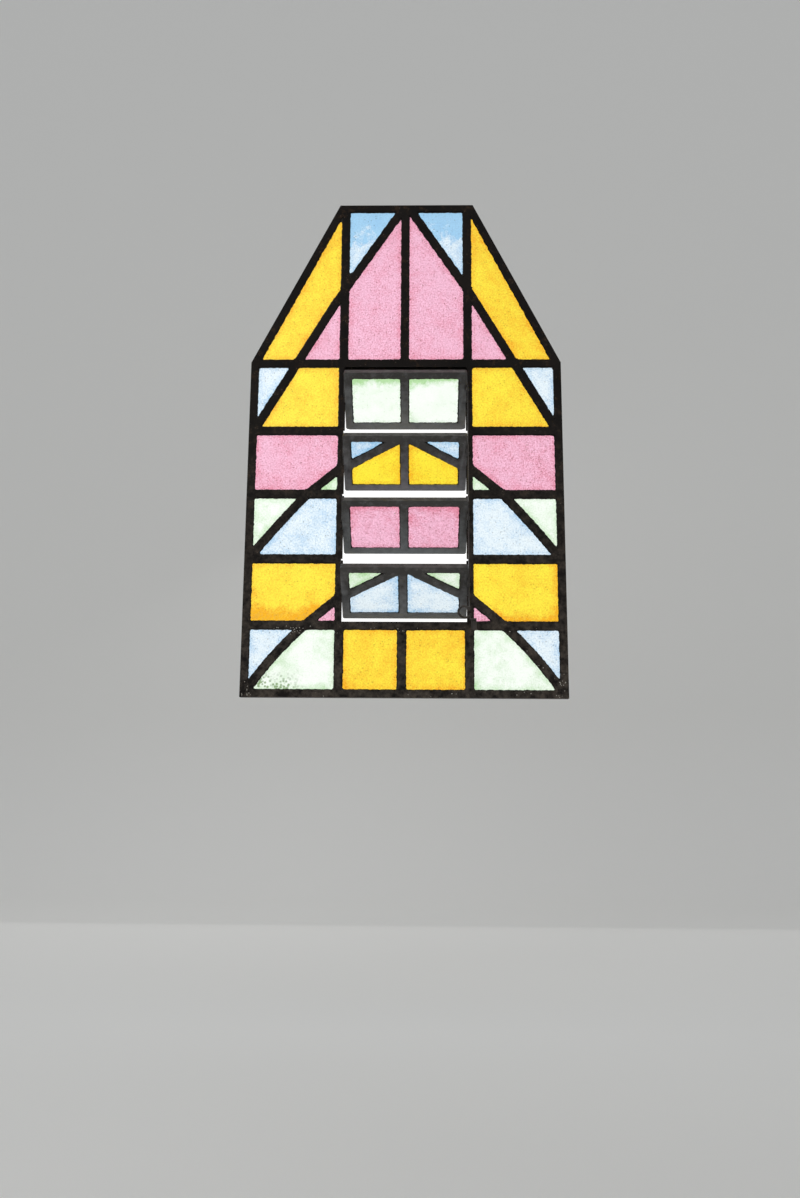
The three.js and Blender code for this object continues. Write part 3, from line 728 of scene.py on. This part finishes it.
# algae in a corner: a side and how far from it, a second side and how far from it, and how strong
paneGrime = {
    "vent": [("left", 2.0, "bottom", 0.075, 1.0)],
    "row5_main_left": [("left", 0.7, "bottom", 0.38, 1.9)],
    "row4_main": [("left", 2.0, "bottom", 0.22, 0.2)],
    "row2_corner": [("left", 2.0, "bottom", 0.4, 0.2)],
}
# runs of dirty water: across and up the pane as shares of it, then width and length
paneRuns = {
    "peak_left": [(0.30, 0.86, 5 * mm, 34 * mm)],
    "vent3_left": [(0.86, 0.8, 4 * mm, 26 * mm)],
    "vent2_main_right": [(0.35, 0.7, 3 * mm, 22 * mm), (0.5, 0.62, 3 * mm, 18 * mm)],
    "row2_main_right": [(0.62, 0.8, 3 * mm, 30 * mm)],
}
markSetup = {
    "waves": (22, 90),          # of the wobbly borders, per metre: 45 mm and 11 mm
    "stainWobble": 0.16,        # of a border of deeper colour, as a share of the pane where it reaches 0.3
    "stainFade": 0.7,
    "grimeWobble": 0.1,
    "grimeStrength": 2.2,
    "runWobble": 1.5 * mm,
    "runStart": 4 * mm,         # over which a run fades in
    "runStrength": 1.4,
    "behindSteel": 0.7 * mm,    # glass this close to steel counts as covered
    "smoothing": 5,             # rounds that spread the cover to what lies near
    "farFromSteel": 50 * mm,
}


def nearSide(side, u, v, isLeft):
    # how far points at (u, v) lie from a side, as a share of the pane
    return {
        "top": 1 - v,
        "bottom": v,
        "left": u,
        "right": 1 - u,
        "inner": 1 - u if isLeft else u,
        "side": u if isLeft else 1 - u,
        "all": 0 * u,
    }[side]


def coverNear(mesh, gaps):
    # how much of the glass round each point lies behind steel: about a half along a bar, more in a corner
    ends = np.zeros(len(mesh.edges) * 2, np.int32)
    mesh.edges.foreach_get("vertices", ends)
    a, b = ends.reshape(-1, 2).T
    cover = (gaps < markSetup["behindSteel"]).astype(float)
    neighbours = np.bincount(ends, minlength=len(gaps))
    for _ in range(markSetup["smoothing"]):
        total = np.bincount(a, cover[b], len(gaps)) + np.bincount(b, cover[a], len(gaps))
        cover = 0.5 * cover + 0.5 * total / neighbours
    return cover


def stainAndShadeOn(node, u, v, wobble):
    # how much deeper the colour is at each point of a pane
    isLeft = node.endswith("_left")
    stain = np.zeros(len(u))
    for key, marks in paneStainsAndShade.items():
        if key in node:
            for side, reach, strength in marks:
                near = nearSide(side, u, v, isLeft) + markSetup["stainWobble"] * wobble * reach / 0.3
                faded = np.clip(1 - near / reach, 0, 1) ** markSetup["stainFade"]
                stain += strength * (1 if side == "all" else faded)
    return stain


def grimeOn(node, u, v, wobble):
    # how much algae each point of a pane has
    isLeft = node.endswith("_left")
    grime = np.zeros(len(u))
    for key, marks in paneGrime.items():
        if key in node:
            for sideA, reachA, sideB, reachB, strength in marks:
                nearA = np.clip(1 - nearSide(sideA, u, v, isLeft) / reachA, 0, 1)
                fromB = nearSide(sideB, u, v, isLeft) + markSetup["grimeWobble"] * wobble
                nearB = np.clip(1 - fromB / reachB, 0, 1)
                grime += strength * np.clip(markSetup["grimeStrength"] * nearA * nearB, 0, 1)
    return grime


def runsOn(node, points, low, high, wobble):
    # how much dirt has run down over each point of a pane
    grime = np.zeros(len(points))
    for key, runs in paneRuns.items():
        if key in node:
            for across, up, width, length in runs:
                middle = across * (high[0] - low[0])
                sideways = np.abs(points[:, 0] - low[0] - middle + markSetup["runWobble"] * wobble)
                below = low[2] + up * (high[2] - low[2]) - points[:, 2]
                fade = np.clip(1 - sideways / width, 0, 1) * np.clip(below / markSetup["runStart"], 0, 1)
                grime += markSetup["runStrength"] * fade * np.clip(1 - below / length, 0, 1)
    return grime


def paintPane(piece, node, steelNode, upright):
    # gives each point of an upright pane its stain and painted shade, grime, cover and gap to the steel,
    # then tilts it back
    mesh = piece.data
    raw = np.zeros(len(mesh.vertices) * 3, np.float32)
    mesh.vertices.foreach_get("co", raw)
    points = raw.reshape(-1, 3)
    low, high = points.min(0), points.max(0)
    u = (points[:, 0] - low[0]) / (high[0] - low[0])
    v = (points[:, 2] - low[2]) / (high[2] - low[2])
    isBack = points[:, 1] > (low[1] + high[1]) / 2
    long, short = markSetup["waves"]
    wobble = np.array([noise.noise(Vector(p) * long) + 0.5 * noise.noise(Vector(p) * short) for p in points])
    stain = stainAndShadeOn(node, u, v, wobble)
    grime = grimeOn(node, u, v, wobble) + runsOn(node, points, low, high, wobble)
    mesh.transform(upright.inverted())
    tree = steelTrees[steelNode]
    gaps = np.array([tree.find_nearest(p.co)[3] for p in mesh.vertices])
    cover = coverNear(mesh, gaps)
    for values, neutral in ((gaps, markSetup["farFromSteel"]), (stain, 0), (grime, 0), (cover, 0)):
        values[isBack] = neutral  # the marks are all on the room side
    for name, values in (("stain", stain), ("grime", grime), ("steelGap", gaps), ("cover", cover)):
        attribute = mesh.attributes.new(name, "FLOAT", "POINT")
        attribute.data.foreach_set("value", np.array(values, np.float32))


paneOutlines = {}
paneColours = {
    "yellow": ("gable_shoulder", "row1_main", "row4_main", "base", "vent2_main"),
    "pink": ("gable_haunch", "row2_main", "row4_corner", "peak", "vent3"),
    "blue": ("row1_corner", "row3_main", "row5_corner", "head", "vent2_corner", "vent4_main"),
    "green": ("row2_corner", "row3_corner", "row5_main", "vent1", "vent4_corner"),
}


def colourOf(node):
    part = node.replace("pane_", "").replace("_left", "").replace("_right", "")
    return next(colour for colour, parts in paneColours.items() if part in parts)


def makePane(node, body, steelNode):
    # one pane, made and painted upright and then tilted with its vent
    upright = standing(body)
    outline, front, back = frontOutline(node, upright)
    paneOutlines[node] = (outline, back, body)
    bm = paneBody(outline, front, back, stippleSetup["grid"])
    colourName = colourOf(node)
    mesh = bpy.data.meshes.new(node)
    bm.to_mesh(mesh)
    bm.free()
    name = node.replace("pane_", "glass_")
    piece = bpy.data.objects.new(name, mesh)
    scene.collection.objects.link(piece)
    throughNodes(piece, stipple, {"Seed": float(len(paneOutlines)), "Material": glasses[colourName]})
    paintPane(piece, node, steelNode, upright)
    piece.data.name = name
    for polygon in piece.data.polygons:
        polygon.use_smooth = polygon.normal.y < 0 and len(polygon.vertices) == 3
    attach(piece, body)
    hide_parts(node)


for body, nodes in frame["record"]["behaviour"]["bodies"].items():
    for node in nodes:
        if node.startswith("pane_"):
            makePane(node, body, body.replace("_body", ""))  # its steel is named as its body is
print("glass done:", len(paneOutlines), "panes")


# putty: hand-run fillets on the outdoor side
puttySetup = {
    "leg": 9 * mm,          # over the glass
    "rise": 8.5 * mm,       # up the web
    "pastPane": 0.6 * mm,   # beyond the pane's rim, towards the web
    "middleIn": 0.35,       # the fillet's middle line, as shares of leg and rise
    "middleUp": 0.42,
    "offGlass": 0.05 * mm,  # so that putty and glass don't share a face
    "step": 7 * mm,
    "wobble": 0.7 * mm,
    "liftWaves": 60,        # of the wobble, per metre
    "slideWaves": 45,
    "slideUpWeb": 0.4,      # less sideways wobble where the putty lies against the web
    "dark": "#3a332c",
    "light": "#6f675c",
    "crack": "#1d1915",
}


def makePutty():
    # linseed putty: chalky, finger-smoothed and cracked, in patches of 33 mm with cracks 17 mm apart
    material, tree, shader, place = newMaterial("weathered_linseed_putty")
    dark, light, gap = (linear(puttySetup[key]) for key in ("dark", "light", "crack"))
    broad = addNode(tree, "ShaderNodeTexNoise", {"Vector": place, "Scale": 30, "Detail": 6})
    cells = addNode(tree, "ShaderNodeTexVoronoi", {"Vector": place, "Scale": 60}, "Distance",
                    feature="DISTANCE_TO_EDGE")
    tone = addNode(tree, "ShaderNodeMapRange", (broad, 0.35, 0.65))
    colour = addNode(tree, "ShaderNodeMix", {0: tone, 6: dark, 7: light}, 2, data_type="RGBA")
    crack = addNode(tree, "ShaderNodeMapRange", (cells, 0.0, 0.035, 0.7, 0.0))
    colour = addNode(tree, "ShaderNodeMix", {0: crack, 6: colour, 7: gap}, 2, data_type="RGBA")
    tree.links.new(colour, shader.inputs["Base Color"])
    height = addNode(tree, "ShaderNodeMath", (broad, crack), operation="SUBTRACT")
    bump = addNode(tree, "ShaderNodeBump", {"Height": height, "Strength": 0.5, "Distance": 0.6 * mm})
    tree.links.new(bump, shader.inputs["Normal"])
    shader.inputs["Roughness"].default_value = 0.85
    return material


puttyMaterial = makePutty()


def insetLoop(points, distance):
    # moves a closed anticlockwise loop inwards, with mitred corners
    before = points - np.roll(points, 1, 0)
    after = np.roll(points, -1, 0) - points
    normals = []
    for d in (before, after):
        unit = d / np.linalg.norm(d, axis=1)[:, None]
        normals.append(np.stack([-unit[:, 1], unit[:, 0]], 1))
    mitre = normals[0] + normals[1]
    mitre /= np.linalg.norm(mitre, axis=1)[:, None]
    across = np.clip(np.sum(mitre * normals[0], 1), 0.35, 1)  # so that a sharp corner doesn't run far
    return points + mitre * (distance / across)[:, None]


def puttyRing(bm, outline, back, body):
    # a fillet round one pane: a loop up the web, one in the middle, one on the glass, and one underneath
    setup = puttySetup
    insets = (-setup["pastPane"], setup["middleIn"] * setup["leg"], setup["leg"])
    heights = (setup["rise"], setup["middleUp"] * setup["rise"], setup["offGlass"])
    loops = []
    for inset in insets:
        corners = insetLoop(outline, inset)
        loop = []
        for i in range(len(corners)):
            j = (i + 1) % len(corners)
            count = max(2, int(np.linalg.norm(outline[j] - outline[i]) / setup["step"]))
            loop += [corners[i] + (corners[j] - corners[i]) * n / count for n in range(count)]
        loops.append(np.array(loop))
    down = standing(body).inverted()
    lifts, slides = setup["liftWaves"], setup["slideWaves"]
    rings = []
    for loop, height in zip(loops, heights):
        onGlass = height < 1 * mm
        centre = loop.mean(0)
        ring = []
        for x, z in loop:
            shake = noise.noise(Vector((x * lifts, height * 900, z * lifts)))  # each loop shakes by itself
            lift = height + setup["wobble"] * shake * (0 if onGlass else 1)
            slide = setup["wobble"] * noise.noise(Vector((x * slides, 7.7, z * slides)))
            slide *= 1 if onGlass else setup["slideUpWeb"]
            d = centre - np.array((x, z))
            d = d / max(np.linalg.norm(d), 1e-6) * slide
            ring.append(bm.verts.new(down @ Vector((x + d[0], back + lift, z + d[1]))))
        rings.append(ring)
    rings.append([bm.verts.new(down @ Vector((x, back + setup["offGlass"], z))) for x, z in loops[0]])
    count = len(loops[0])
    for a, b in zip(rings, rings[1:] + rings[:1]):
        for i in range(count):
            j = (i + 1) % count
            bm.faces.new([a[i], a[j], b[j], b[i]])


puttyBodies = {}
for outline, back, body in paneOutlines.values():
    if body not in puttyBodies:
        puttyBodies[body] = bmesh.new()
    puttyRing(puttyBodies[body], outline, back, body)
for body, bm in puttyBodies.items():
    bmesh.ops.recalc_face_normals(bm, faces=bm.faces)
    for face in bm.faces:
        face.smooth = True
    addPiece("putty_" + body.replace("_body", ""), bm, puttyMaterial, body)
print("putty done")


# studio
studio = {
    "world": "#b9bbbd",
    "floor": "#f0efec",
    "floorRoughness": 0.9,
    "floorZ": -0.9,
    "halfWidth": 9,
    "turnRadius": 1.2,      # where the floor curves up
    "turnSteps": 12,
    "back": 4.2,
    "height": 7,
}
# panels of light: where they are, what they face, their size and how bright their faces are
panels = {
    "sky_panel": {"place": (0, 1.4, 1.2), "aim": (0, 0, 0.7), "size": (4.4, 4.4), "radiance": 0.69,
                  "hiddenFrom": ("camera", "diffuse")},  # it only shines through the glass
    "yard_panel": {"place": (-1.2, 3.2, 2.9), "aim": (0, 0, 0.6), "size": (2.4, 2.0), "radiance": 1.1,
                   "hiddenFrom": ("camera", "transmission")},
    "gap_panel": {"place": (0, 0.16, 0.62), "aim": (0, 0, 0.62), "size": (0.43, 0.82), "radiance": 0.72,
                  "hiddenFrom": ("transmission",)},  # daylight in the gaps under the vents
    "room_panel": {"place": (-1.4, -3.2, 2.2), "aim": (0, 0, 0.8), "size": (2.4, 1.8), "radiance": 1.2,
                   "hiddenFrom": ("camera",)},
}


def makeFloorPaint():
    # matt floor paint: even, with no shine to tell where the floor turns up
    material = bpy.data.materials.new("matt_floor_paint")
    material.use_nodes = True
    shader = material.node_tree.nodes["Principled BSDF"]
    shader.inputs["Base Color"].default_value = linear(studio["floor"])
    shader.inputs["Roughness"].default_value = studio["floorRoughness"]
    return material


def addPanel(name, setup):
    # a panel's power is worked out so that its face shows at its radiance
    data = bpy.data.lights.new(name, "AREA")
    data.shape = "RECTANGLE"
    width, height = setup["size"]
    data.size, data.size_y = width, height
    data.energy = setup["radiance"] * width * height * math.pi
    light = bpy.data.objects.new(name, data)
    scene.collection.objects.link(light)
    light.location = setup["place"]
    towards = Vector(setup["aim"]) - Vector(setup["place"])
    light.rotation_euler = towards.to_track_quat("-Z", "Y").to_euler()
    light.visible_camera = True  # a new light is hidden from the camera
    for kind in setup["hiddenFrom"]:
        setattr(light, "visible_" + kind, False)


def addSweep(name, material):
    # floor that curves up into a backdrop
    radius, back, floorZ = studio["turnRadius"], studio["back"], studio["floorZ"]
    profile = [(-back * 2, floorZ)]
    for k in range(studio["turnSteps"] + 1):
        angle = math.radians(90 * k / studio["turnSteps"])
        profile.append((back - radius + radius * math.sin(angle), floorZ + radius * (1 - math.cos(angle))))
    profile.append((back, studio["height"]))
    verts = [(x, y, z) for y, z in profile for x in (-studio["halfWidth"], studio["halfWidth"])]
    faces = [(2 * i, 2 * i + 1, 2 * i + 3, 2 * i + 2) for i in range(len(profile) - 1)]
    mesh = bpy.data.meshes.new(name)
    mesh.from_pydata(verts, [], faces)
    mesh.materials.append(material)
    for polygon in mesh.polygons:
        polygon.use_smooth = True
    sweep = bpy.data.objects.new(name, mesh)
    scene.collection.objects.link(sweep)


addSweep("floor", makeFloorPaint())
world = bpy.data.worlds.new("studio")
scene.world = world
world.use_nodes = True
world.node_tree.nodes["Background"].inputs["Color"].default_value = linear(studio["world"])
for name, setup in panels.items():
    addPanel(name, setup)
scene.view_settings.view_transform = "Standard"
scene.view_settings.look = "None"
print("studio done")
